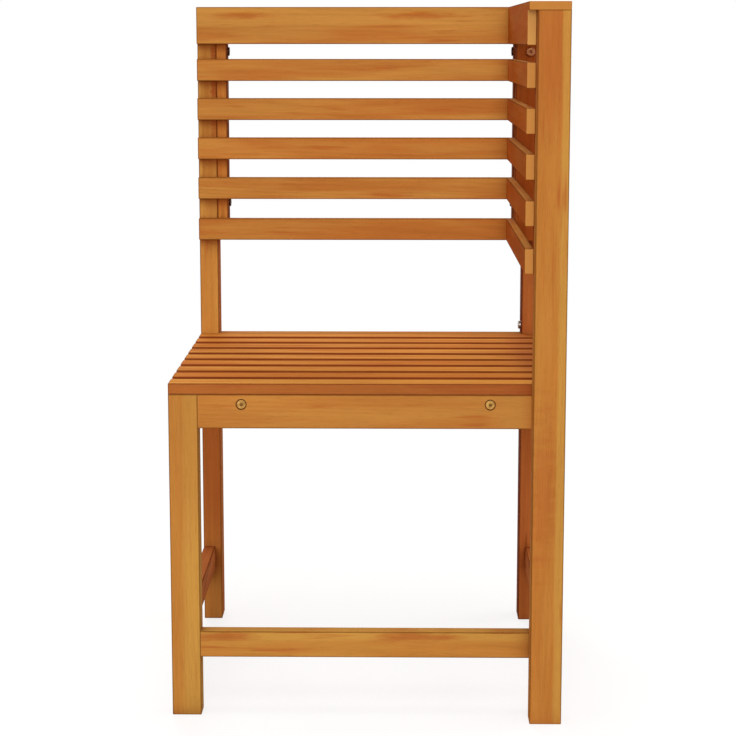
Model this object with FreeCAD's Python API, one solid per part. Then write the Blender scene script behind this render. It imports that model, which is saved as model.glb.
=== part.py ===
"""Corner garden chair of oiled hardwood: slatted seat, slatted back and one slatted side.

Millimetres, +Z up, +X to the sitter's left, the open front towards -Y.
The origin is on the floor, under the middle of the chair's box.
"""
import FreeCAD, Part
import os

os.makedirs("parts", exist_ok=True)

# Overall size
overall_width = 494.0
overall_depth = 494.0
overall_height = 900.0

# Posts and legs, width along X and depth along Y
front_post_width = 40.0
front_post_depth = 29.5
front_leg_width = 37.0
front_leg_depth = 29.0
rear_post_width = 26.5
rear_post_depth = 42.0

# Seat
seat_height = 430.5
seat_slat_width = 33.5
seat_slat_thickness = 14.0
seat_slat_least_gap = 12.0

# Rails and bearers under the seat
rail_height = 43.0
apron_thickness = 20.0
rear_rail_thickness = 22.0
side_rail_thickness = 18.0
side_rail_inset = 2.0
support_width = 30.0
support_height = 25.0
support_inset = 54.5

# Low stretchers
stretcher_clearance = 77.0
front_stretcher_height = 33.5
front_stretcher_thickness = 20.0
side_stretcher_height = 33.5
side_stretcher_thickness = 16.5
side_stretcher_inset = 0.5

# Back and side panels, with the shares of the open height that the gaps take from the top down
cap_thickness = 10.0
panel_slat_thickness = 11.0
top_slat_height = 42.0
panel_slat_height = 31.0
panel_gap_shares = (21.0, 24.5, 25.0, 26.0, 28.0)
panel_clearance = 138.0
batten_thickness = 15.0
back_batten_margin = 4.5

# Mortise and tenon joints
tenon_length = 10.0
tenon_thickness = 8.0
tenon_shoulder = 6.0
tenon_clearance = 0.1
mortise_relief = 1.0
mortise_wall = 2.25

# Socket bolts
bolt_diameter = 6.0
bolt_head_diameter = 12.0
bolt_head_height = 4.0
bolt_head_ease = 0.8
bolt_socket_width = 4.0
bolt_socket_depth = 2.4
bolt_clearance = 0.25
bolt_recess = 0.8
bolt_wall = 4.5
counterbore_clearance = 1.0
bolt_end_relief = 1.0
front_post_bolt_offset = 33.5

# Panel bolts with flat button heads
panel_head_diameter = 13.0
panel_head_height = 2.8
panel_head_ease = 1.4
panel_socket_depth = 1.6
panel_head_clearance = 0.25
panel_bolt_bite = 15.0

# Cross nuts and threaded sleeves for the bolts
nut_diameter = 10.0
nut_cover = 2.0
nut_setback = 35.0
nut_overrun = 10.0
nut_clearance = 0.15
sleeve_diameter = 9.0
sleeve_length = 12.0
thread_clearance = 0.05

# Link bolt through the rear right post
link_bolt_rise = 10.5
link_nut_diameter = 11.0
link_nut_height = 5.0

# Wood screws and dowels
screw_diameter = 4.0
screw_head_diameter = 8.0
screw_head_depth = 2.4
screw_tip_length = 4.0
screw_cover = 3.5
screw_edge = 1.0
dowel_diameter = 6.0
dowel_bite = 10.0
dowel_cover = 4.0
dowel_chamfer = 0.8

# Eased timber edges
edge_ease = 1.0

Vector = FreeCAD.Vector
ALONG_X = Vector(1, 0, 0)
ALONG_Y = Vector(0, 1, 0)
ALONG_Z = Vector(0, 0, 1)
AXES = "XYZ"
ROUND_HEAD = {"diameter": bolt_head_diameter, "height": bolt_head_height,
              "ease": bolt_head_ease, "socket_depth": bolt_socket_depth}
BUTTON_HEAD = {"diameter": panel_head_diameter, "height": panel_head_height,
               "ease": panel_head_ease, "socket_depth": panel_socket_depth}

# Planes that the pieces share
left_face = -overall_width / 2
right_face = overall_width / 2
front_face = -overall_depth / 2
back_face = overall_depth / 2
seat_front = front_face + front_post_depth
leg_back = seat_front + front_leg_depth
post_front = back_face - rear_post_depth
panel_front = post_front - panel_slat_thickness
post_top = overall_height - cap_thickness
slat_seat = seat_height - seat_slat_thickness
rail_bottom = slat_seat - rail_height
panel_inner = right_face - front_post_width
slat_inner = panel_inner - panel_slat_thickness
leg_inner = right_face - front_leg_width
post_inner = right_face - rear_post_width
support_x = leg_inner - support_inset
support_middle = slat_seat - support_height / 2
side_bolt_x = right_face - front_post_width / 2
counterbore_diameter = bolt_head_diameter + 2 * counterbore_clearance
counterbore_depth = bolt_head_height + bolt_recess
thread_radius = bolt_diameter / 2 + thread_clearance
back_bolt_y = post_front + panel_bolt_bite + sleeve_diameter / 2 + bolt_wall
back_batten_back = back_bolt_y + panel_head_diameter / 2 + back_batten_margin
side_rail_x = right_face - side_rail_inset - side_rail_thickness / 2
side_stretcher_x = right_face - side_stretcher_inset - side_stretcher_thickness / 2
rear_tenon_length = side_rail_x - bolt_diameter / 2 - bolt_clearance - mortise_wall - post_inner

pieces = {}
groups = {}


def middle(span):
    """Middle of a low and high limit."""
    return (span[0] + span[1]) / 2


def about(centre, size):
    """Low and high limit of a size centred on a point."""
    return (centre - size / 2, centre + size / 2)


def mirrored(span):
    """The same limits on the other side of the chair."""
    return (-span[1], -span[0])


def block(spans):
    """Plain box between the limits on X, Y and Z."""
    low = Vector(*[span[0] for span in spans])
    sizes = [span[1] - span[0] for span in spans]
    return Part.makeBox(*sizes, low)


def timber(spans, along, shown_ends=(), joint_height=None):
    """Length of timber with eased long edges, eased too round the ends that show.

    Edges at the height of a flush joint stay square.
    """
    axis = AXES.index(along)
    solid = block(spans)
    ends = [spans[axis][0 if end == "low" else 1] for end in shown_ends]
    eased = []
    for edge in solid.Edges:
        first, last = [vertex.Point[axis] for vertex in edge.Vertexes]
        runs_along = abs(first - last) > edge_ease
        at_shown_end = any(abs(first - end) < edge_ease for end in ends)
        heights = [vertex.Z for vertex in edge.Vertexes]
        in_joint = joint_height is not None and all(abs(z - joint_height) < edge_ease for z in heights)
        if (runs_along or at_shown_end) and not in_joint:
            eased.append(edge)
    thinnest = min(span[1] - span[0] for span in spans)
    return solid.makeFillet(min(edge_ease, thinnest / 4), eased)


def tenon_spans(rail, along, end, length, clearance, relief):
    """Limits of a rail's tenon, or of its mortise when a clearance is given."""
    axis = AXES.index(along)
    side = AXES.index("Y" if along == "X" else "X")
    spans = list(rail)
    spans[side] = about(middle(rail[side]), tenon_thickness + 2 * clearance)
    spans[2] = (rail[2][0] + tenon_shoulder - clearance, rail[2][1] - tenon_shoulder + clearance)
    if end == "low":
        spans[axis] = (rail[axis][0] - length - relief, rail[axis][0])
    else:
        spans[axis] = (rail[axis][1], rail[axis][1] + length + relief)
    return spans


def tenoned_rail(name, rail, along, into, length):
    """Rail with a tenon at each named end, and the mortise for it in the post there."""
    solid = timber(rail, along)
    for end, post in into.items():
        solid = solid.fuse(block(tenon_spans(rail, along, end, length, 0, 0)))
        mortise = block(tenon_spans(rail, along, end, length, tenon_clearance, mortise_relief))
        pieces[post] = pieces[post].cut(mortise)
    pieces[name] = solid.removeSplitter()


def placed(shape, point, direction):
    """Shape drawn along +Z, turned to a direction and set down on a point."""
    turned = shape.copy()
    turned.Placement = FreeCAD.Placement(point, FreeCAD.Rotation(ALONG_Z, direction))
    return turned


def drill(names, point, direction, depth, diameter):
    """Round hole through or into each named piece."""
    hole = Part.makeCylinder(diameter / 2, depth, point, direction)
    for name in names:
        pieces[name] = pieces[name].cut(hole)


def add(group, shape):
    """Another solid in a group of like fasteners."""
    groups.setdefault(group, []).append(shape)


def socket_bolt(length, head):
    """Bolt along +Z whose head, with its hexagon socket, ends at the origin."""
    head_top = Vector(0, 0, -head["height"])
    disc = Part.makeCylinder(head["diameter"] / 2, head["height"], head_top)
    rims = [edge for edge in disc.Edges if edge.Length > head["diameter"]]
    top_rim = min(rims, key=lambda edge: edge.CenterOfMass.z)
    disc = disc.makeFillet(head["ease"], [top_rim])
    corner = Vector(bolt_socket_width / 3 ** 0.5, 0, -head["height"])
    turn = FreeCAD.Rotation(ALONG_Z, 60)
    corners = [corner]
    for _ in range(6):
        corners.append(turn.multVec(corners[-1]))
    corners[-1] = corner
    socket = Part.Face(Part.makePolygon(corners)).extrude(ALONG_Z * head["socket_depth"])
    shank = Part.makeCylinder(bolt_diameter / 2, length)
    return disc.cut(socket).fuse(shank).removeSplitter()


def bolt(group, seat, direction, length, through, head=ROUND_HEAD):
    """Bolt whose head bears on the seat point, with its hole in each piece that it enters."""
    add(group, placed(socket_bolt(length, head), seat, direction))
    drill(through, seat, direction, length + bolt_end_relief, bolt_diameter + 2 * bolt_clearance)


def recessed_bolt(group, face_point, direction, length, through):
    """Bolt with its head sunk in a counterbore of the first piece that it enters."""
    drill(through[:1], face_point, direction, counterbore_depth, counterbore_diameter)
    seat = face_point + direction * counterbore_depth
    bolt(group, seat, direction, length, through)


def cross_nut(group, name, centre, nut_axis, bolt_axis, thickness):
    """Cylindrical nut across a bolt, in a blind hole from the face that the nut's axis leaves."""
    length = thickness - 2 * nut_cover
    nut = Part.makeCylinder(nut_diameter / 2, length, centre - nut_axis * (length / 2), nut_axis)
    thread_start = centre - bolt_axis * nut_diameter
    thread = Part.makeCylinder(thread_radius, 2 * nut_diameter, thread_start, bolt_axis)
    add(group, nut.cut(thread))
    blind_end = centre - nut_axis * (length / 2 + nut_clearance)
    drill([name], blind_end, nut_axis, thickness, nut_diameter + 2 * nut_clearance)


def sleeve(name, mouth, direction):
    """Threaded sleeve pressed into a post, flush with its face."""
    outer = Part.makeCylinder(sleeve_diameter / 2, sleeve_length, mouth, direction)
    inner = Part.makeCylinder(thread_radius, sleeve_length, mouth, direction)
    add("threaded_inserts", outer.cut(inner))
    drill([name], mouth, direction, sleeve_length, sleeve_diameter + 2 * thread_clearance)


def countersink(length, clearance):
    """Countersunk screw along +Z from its head, or the hole for it with a clearance."""
    radius = screw_diameter / 2 + clearance
    head = Part.makeCone(screw_head_diameter / 2 + clearance, radius, screw_head_depth)
    shank_length = length - screw_tip_length
    shank = Part.makeCylinder(radius, shank_length)
    tip = Part.makeCone(radius, radius / 4, screw_tip_length + clearance, Vector(0, 0, shank_length))
    return head.fuse(shank).fuse(tip).removeSplitter()


def screw(group, face_point, direction, length, through):
    """Wood screw, flush with the face of the first piece, with its hole in each piece."""
    add(group, placed(countersink(length, 0), face_point, direction))
    hole = placed(countersink(length, thread_clearance), face_point, direction)
    for name in through:
        pieces[name] = pieces[name].cut(hole)


def cap_dowel(cap, below, x, y):
    """Dowel upright through the joint between a cap and the piece that it sits on."""
    rise = cap_thickness - dowel_cover
    length = dowel_bite + rise
    foot = Vector(x, y, post_top - dowel_bite)
    pin = Part.makeCylinder(dowel_diameter / 2, length, foot)
    rims = [edge for edge in pin.Edges if edge.Length > dowel_diameter * 2]
    add("cap_dowels", pin.makeChamfer(dowel_chamfer, rims))
    start = foot - ALONG_Z * thread_clearance
    depth = length + 2 * thread_clearance
    drill([cap, below], start, ALONG_Z, depth, dowel_diameter + 2 * thread_clearance)


def panel_slat_heights():
    """Limits on Z of the panel slats, from the top down, with gaps that widen towards the seat."""
    slats_height = top_slat_height + len(panel_gap_shares) * panel_slat_height
    open_height = post_top - seat_height - panel_clearance - slats_height
    spans = [(post_top - top_slat_height, post_top)]
    for share in panel_gap_shares:
        top = spans[-1][0] - open_height * share / sum(panel_gap_shares)
        spans.append((top - panel_slat_height, top))
    return spans


def seat_slat_depths():
    """Limits on Y of the seat slats, spread evenly from the front to the rear posts."""
    room = post_front - seat_front
    count = int((room + seat_slat_least_gap) // (seat_slat_width + seat_slat_least_gap))
    step = (room - seat_slat_width) / (count - 1)
    return [(seat_front + step * i, seat_front + step * i + seat_slat_width) for i in range(count)]


panel_heights = panel_slat_heights()
panel_bottom = panel_heights[-1][0]
batten_z = (panel_bottom, post_top)
upper_bolt_z = (panel_heights[0][0] + panel_heights[1][1]) / 2
lower_bolt_z = panel_heights[-2][0] - panel_head_diameter / 2 - panel_head_clearance
seat_depths = seat_slat_depths()


def posts_and_legs():
    """Tall posts, and short legs under the front of the seat."""
    leg_x = (leg_inner, right_face)
    leg_y = (seat_front, leg_back)
    post_x = (post_inner, right_face)
    post_y = (post_front, back_face)
    front_post = [(panel_inner, right_face), (front_face, seat_front), (0, post_top)]
    pieces["front_right_post"] = timber(front_post, "Z", ["low"])
    pieces["front_right_leg"] = timber([leg_x, leg_y, (0, slat_seat)], "Z", ["low"])
    pieces["front_left_leg"] = timber([mirrored(leg_x), leg_y, (0, slat_seat)], "Z", ["low"])
    pieces["rear_right_post"] = timber([post_x, post_y, (0, post_top)], "Z", ["low"])
    pieces["rear_left_post"] = timber([mirrored(post_x), post_y, (0, post_top)], "Z", ["low"])


def seat_frame():
    """Apron, rails and bearers under the seat, and the low stretchers."""
    rail_z = (rail_bottom, slat_seat)
    front_stretcher_z = (stretcher_clearance, stretcher_clearance + front_stretcher_height)
    side_stretcher_z = (stretcher_clearance, stretcher_clearance + side_stretcher_height)
    between_legs = (-leg_inner, leg_inner)
    apron = [between_legs, (seat_front, seat_front + apron_thickness), rail_z]
    stretcher = [between_legs, (seat_front, seat_front + front_stretcher_thickness), front_stretcher_z]
    front_legs = {"low": "front_left_leg", "high": "front_right_leg"}
    tenoned_rail("front_apron", apron, "X", front_legs, tenon_length)
    tenoned_rail("front_stretcher", stretcher, "X", front_legs, tenon_length)

    rear_rail_y = (post_front, post_front + rear_rail_thickness)
    rear_rail = [(-post_inner, post_inner), rear_rail_y, (rail_bottom, seat_height)]
    rear_posts = {"low": "rear_left_post", "high": "rear_right_post"}
    tenoned_rail("rear_rail", rear_rail, "X", rear_posts, rear_tenon_length)

    leg_to_post = (leg_back, post_front)
    right_rail_x = about(side_rail_x, side_rail_thickness)
    right_stretcher_x = about(side_stretcher_x, side_stretcher_thickness)
    sides = {"right": (right_rail_x, right_stretcher_x),
             "left": (mirrored(right_rail_x), mirrored(right_stretcher_x))}
    for side, (rail_x, stretcher_x) in sides.items():
        leg = {"low": f"front_{side}_leg"}
        tenoned_rail(f"{side}_side_rail", [rail_x, leg_to_post, rail_z], "Y", leg, tenon_length)
        low_rail = [stretcher_x, leg_to_post, side_stretcher_z]
        tenoned_rail(f"{side}_side_stretcher", low_rail, "Y", leg, tenon_length)

    support_y = (seat_front + apron_thickness, post_front)
    support_z = (slat_seat - support_height, slat_seat)
    pieces["right_seat_support"] = timber([about(support_x, support_width), support_y, support_z], "Y")
    pieces["left_seat_support"] = timber([about(-support_x, support_width), support_y, support_z], "Y")


def seat_slats():
    """Slats across the seat, front to rear."""
    for number, depth in enumerate(seat_depths, 1):
        slat = [(left_face, right_face), depth, (slat_seat, seat_height)]
        pieces[f"seat_slat_{number}"] = timber(slat, "X", ["low", "high"])


def panels():
    """Back and side slats, the upright battens behind them and the caps over them."""
    for number, height in enumerate(panel_heights, 1):
        back_slat = [(left_face, right_face), (panel_front, post_front), height]
        pieces[f"back_slat_{number}"] = timber(back_slat, "X", ["low", "high"], post_top)
        side_slat = [(slat_inner, panel_inner), (seat_front, panel_front), height]
        pieces[f"side_slat_{number}"] = timber(side_slat, "Y", ["low"], post_top)

    right_batten_x = (post_inner - batten_thickness, post_inner)
    batten_y = (post_front, back_batten_back)
    pieces["right_back_batten"] = timber([right_batten_x, batten_y, batten_z], "Z", ["low"])
    pieces["left_back_batten"] = timber([mirrored(right_batten_x), batten_y, batten_z], "Z", ["low"])
    side_batten_x = (panel_inner, right_face)
    front_batten_y = (seat_front, seat_front + batten_thickness)
    rear_batten_y = (panel_front - batten_thickness, panel_front)
    pieces["front_side_batten"] = timber([side_batten_x, front_batten_y, batten_z], "Z", ["low"])
    pieces["rear_side_batten"] = timber([side_batten_x, rear_batten_y, batten_z], "Z", ["low"])

    cap_z = (post_top, overall_height)
    back_cap = [(left_face, right_face), (panel_front, back_face), cap_z]
    pieces["back_cap_rail"] = timber(back_cap, "X", ["low", "high"], post_top)
    side_cap = [(slat_inner, right_face), (front_face, panel_front), cap_z]
    pieces["side_cap_rail"] = timber(side_cap, "Y", ["low"], post_top)


def seat_support_bolts():
    """Recessed bolts through the apron and the rear rail into cross nuts in the bearers."""
    for side, x in {"right": support_x, "left": -support_x}.items():
        support = f"{side}_seat_support"
        apron_length = apron_thickness - counterbore_depth + nut_setback + nut_overrun
        apron_point = Vector(x, seat_front, support_middle)
        recessed_bolt("apron_bolts", apron_point, ALONG_Y, apron_length, ["front_apron", support])
        rail_length = rear_rail_thickness - counterbore_depth + nut_setback + nut_overrun
        rail_point = Vector(x, post_front + rear_rail_thickness, support_middle)
        recessed_bolt("rear_rail_bolts", rail_point, -ALONG_Y, rail_length, ["rear_rail", support])
        front_nut = Vector(x, seat_front + apron_thickness + nut_setback, support_middle)
        rear_nut = Vector(x, post_front - nut_setback, support_middle)
        for centre in (front_nut, rear_nut):
            cross_nut("support_barrel_nuts", support, centre, -ALONG_Z, ALONG_Y, support_height)


def rear_post_bolts():
    """Recessed bolts through the rear posts into cross nuts in the side rails and stretchers."""
    length = rear_post_depth - counterbore_depth + nut_setback + nut_overrun
    rail_z = rail_bottom + rail_height / 2
    stretcher_z = stretcher_clearance + side_stretcher_height / 2
    for side, sign in {"right": 1, "left": -1}.items():
        post = f"rear_{side}_post"
        inward = ALONG_X * -sign
        rows = {f"{side}_side_rail": (sign * side_rail_x, rail_z, side_rail_thickness),
                f"{side}_side_stretcher": (sign * side_stretcher_x, stretcher_z, side_stretcher_thickness)}
        for rail, (x, z, thickness) in rows.items():
            recessed_bolt("rear_post_bolts", Vector(x, back_face, z), -ALONG_Y, length, [post, rail])
            nut = Vector(x, post_front - nut_setback, z)
            cross_nut("rail_barrel_nuts", rail, nut, inward, ALONG_Y, thickness)


def panel_bolts():
    """Bolts through the battens into threaded sleeves in the posts, in the first and last gaps.

    The upper ones are in the middle of their gap, the lower ones close under the slat above.
    """
    back_length = batten_thickness + panel_bolt_bite
    rear_length = batten_thickness + panel_slat_thickness + panel_bolt_bite
    last = len(panel_heights)
    rows = {upper_bolt_z: ["back_slat_1", "back_slat_2"],
            lower_bolt_z: [f"back_slat_{last - 1}", f"back_slat_{last}"]}
    for z, slats in rows.items():
        for side, sign in {"right": 1, "left": -1}.items():
            post = f"rear_{side}_post"
            outward = ALONG_X * sign
            mouth = Vector(sign * post_inner, back_bolt_y, z)
            seat = mouth - outward * batten_thickness
            sleeve(post, mouth, outward)
            back_pair = [f"{side}_back_batten", post]
            bolt("back_panel_bolts", seat, outward, back_length, back_pair, BUTTON_HEAD)

        rear_mouth = Vector(side_bolt_x, post_front, z)
        rear_seat = Vector(side_bolt_x, panel_front - batten_thickness, z)
        sleeve("rear_right_post", rear_mouth, ALONG_Y)
        rear_row = ["rear_side_batten", *slats, "rear_right_post"]
        bolt("side_panel_bolts", rear_seat, ALONG_Y, rear_length, rear_row, BUTTON_HEAD)

        front_mouth = Vector(side_bolt_x, seat_front, z)
        front_seat = Vector(side_bolt_x, seat_front + batten_thickness, z)
        sleeve("front_right_post", front_mouth, -ALONG_Y)
        front_pair = ["front_side_batten", "front_right_post"]
        bolt("side_panel_bolts", front_seat, -ALONG_Y, back_length, front_pair, BUTTON_HEAD)


def front_post_bolts():
    """Bolts from behind the short right leg into sleeves in the tall post before it."""
    x = (leg_inner + right_face) / 2
    low = stretcher_clearance + front_stretcher_height + front_post_bolt_offset
    high = rail_bottom - front_post_bolt_offset
    for z in (low, high):
        sleeve("front_right_post", Vector(x, seat_front, z), -ALONG_Y)
        length = front_leg_depth + panel_bolt_bite
        through = ["front_right_leg", "front_right_post"]
        bolt("front_post_bolts", Vector(x, leg_back, z), -ALONG_Y, length, through)


def link_bolt():
    """Bolt across the rear right post for a neighbouring seat, its nut sunk in the outer face."""
    y = post_front + rear_post_depth / 2
    z = seat_height + link_bolt_rise
    post = ["rear_right_post"]
    bolt("link_bolt", Vector(post_inner, y, z), ALONG_X, rear_post_width - bolt_recess, post)
    recess_depth = link_nut_height + bolt_recess
    recess_diameter = link_nut_diameter + 2 * counterbore_clearance
    drill(post, Vector(right_face, y, z), -ALONG_X, recess_depth, recess_diameter)
    nut_base = Vector(right_face - recess_depth, y, z)
    nut = Part.makeCylinder(link_nut_diameter / 2, link_nut_height, nut_base, ALONG_X)
    thread = Part.makeCylinder(thread_radius, link_nut_height, nut_base, ALONG_X)
    add("link_nut", nut.cut(thread))


def slat_screws():
    """Screws from the hidden side of each bearer and batten into the slats."""
    support_front = seat_front + apron_thickness
    support_offset = support_width / 2 - screw_head_diameter / 2 - screw_edge
    seat_length = support_height + seat_slat_thickness - screw_cover
    for number, depth in enumerate(seat_depths, 1):
        y = (max(depth[0], support_front) + depth[1]) / 2
        for side, sign in {"right": 1, "left": -1}.items():
            point = Vector(sign * (support_x + support_offset), y, slat_seat - support_height)
            through = [f"{side}_seat_support", f"seat_slat_{number}"]
            screw("seat_slat_screws", point, ALONG_Z, seat_length, through)

    back_x = post_inner - batten_thickness / 2
    back_length = back_batten_back - panel_front - screw_cover
    side_length = front_post_width + panel_slat_thickness - screw_cover
    side_rows = {"front_side_batten": seat_front + batten_thickness / 2,
                 "rear_side_batten": panel_front - batten_thickness / 2}
    for number, height in enumerate(panel_heights, 1):
        z = middle(height)
        for side, sign in {"right": 1, "left": -1}.items():
            point = Vector(sign * back_x, back_batten_back, z)
            through = [f"{side}_back_batten", f"back_slat_{number}"]
            screw("back_slat_screws", point, -ALONG_Y, back_length, through)
        for batten, y in side_rows.items():
            point = Vector(right_face, y, z)
            screw("side_slat_screws", point, -ALONG_X, side_length, [batten, f"side_slat_{number}"])


def cap_dowels():
    """Dowels that hold the caps on the posts and on the rear side batten."""
    post_x = (post_inner + right_face) / 2
    post_y = (post_front + back_face) / 2
    side_x = (panel_inner + right_face) / 2
    cap_dowel("back_cap_rail", "rear_right_post", post_x, post_y)
    cap_dowel("back_cap_rail", "rear_left_post", -post_x, post_y)
    cap_dowel("side_cap_rail", "front_right_post", side_x, (front_face + seat_front) / 2)
    cap_dowel("side_cap_rail", "rear_side_batten", side_x, panel_front - batten_thickness / 2)


posts_and_legs()
seat_frame()
seat_slats()
panels()
seat_support_bolts()
rear_post_bolts()
panel_bolts()
front_post_bolts()
link_bolt()
slat_screws()
cap_dowels()

for name, solids in groups.items():
    pieces[name] = Part.makeCompound(solids)
for name, shape in pieces.items():
    shape.exportStep(f"parts/{name}.step")
    print(name, len(shape.Solids), shape.isValid(), round(shape.Volume))
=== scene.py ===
"""Looks of the corner garden chair: oiled hardwood boards, plated fasteners and a white studio.

Metres, in the chair's own frame: +Z up, +X towards the slatted side, the open front towards -Y.
"""
import logging
import math
from dataclasses import dataclass, replace
from enum import Enum
from functools import cache
from typing import ClassVar

import bpy
from mathutils import Euler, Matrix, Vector


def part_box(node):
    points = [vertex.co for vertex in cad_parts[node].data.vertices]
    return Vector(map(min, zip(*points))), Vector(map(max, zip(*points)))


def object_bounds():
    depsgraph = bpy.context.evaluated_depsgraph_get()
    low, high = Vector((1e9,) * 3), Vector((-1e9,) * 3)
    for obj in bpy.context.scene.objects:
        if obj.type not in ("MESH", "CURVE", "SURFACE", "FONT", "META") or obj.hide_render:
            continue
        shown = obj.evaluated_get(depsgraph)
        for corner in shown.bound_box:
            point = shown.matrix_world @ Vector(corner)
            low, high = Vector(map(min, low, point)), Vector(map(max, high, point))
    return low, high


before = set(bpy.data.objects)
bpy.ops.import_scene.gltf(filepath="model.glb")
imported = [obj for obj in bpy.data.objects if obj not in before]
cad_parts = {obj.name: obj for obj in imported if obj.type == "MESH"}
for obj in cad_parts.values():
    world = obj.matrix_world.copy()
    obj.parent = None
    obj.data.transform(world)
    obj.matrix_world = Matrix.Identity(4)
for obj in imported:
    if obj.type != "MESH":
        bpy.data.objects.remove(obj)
CAD_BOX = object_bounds()

log = logging.getLogger("garden_chair")

Socket = bpy.types.NodeSocket
Triple = tuple[float, float, float]
Colour = tuple[float, float, float, float]
Feed = Socket | float | Triple | Colour | Vector | Euler

TO_FRONT: Triple = (0.0, -1.0, 0.0)
TO_REAR: Triple = (0.0, 1.0, 0.0)
TO_SIDE: Triple = (1.0, 0.0, 0.0)
FROM_SIDE: Triple = (-1.0, 0.0, 0.0)
UPWARD: Triple = (0.0, 0.0, 1.0)
DOWNWARD: Triple = (0.0, 0.0, -1.0)


def paint(red: int, green: int, blue: int) -> Colour:
    """Turns a screen colour into the linear colour that shaders use.

    Args:
        red: Red from 0 to 255.
        green: Green from 0 to 255.
        blue: Blue from 0 to 255.

    Returns:
        The linear red, green and blue, with full alpha.
    """
    shares = [value / 255 for value in (red, green, blue)]
    linear = [s / 12.92 if s <= 0.04045 else ((s + 0.055) / 1.055) ** 2.4 for s in shares]
    return (linear[0], linear[1], linear[2], 1.0)


def grey(level: float) -> Colour:
    """Gives the neutral colour of a linear level."""
    return (level, level, level, 1.0)


def cover(node: str, material: bpy.types.Material, finish: str) -> None:
    """Puts a material on a piece of the chair and reports it.

    Args:
        node: The piece's name.
        material: Its material.
        finish: The finish's name, for the report.
    """
    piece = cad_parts[node]
    piece.data.materials.clear()
    piece.data.materials.append(material)
    log.info("dressed %s in %s", node, finish)


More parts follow.
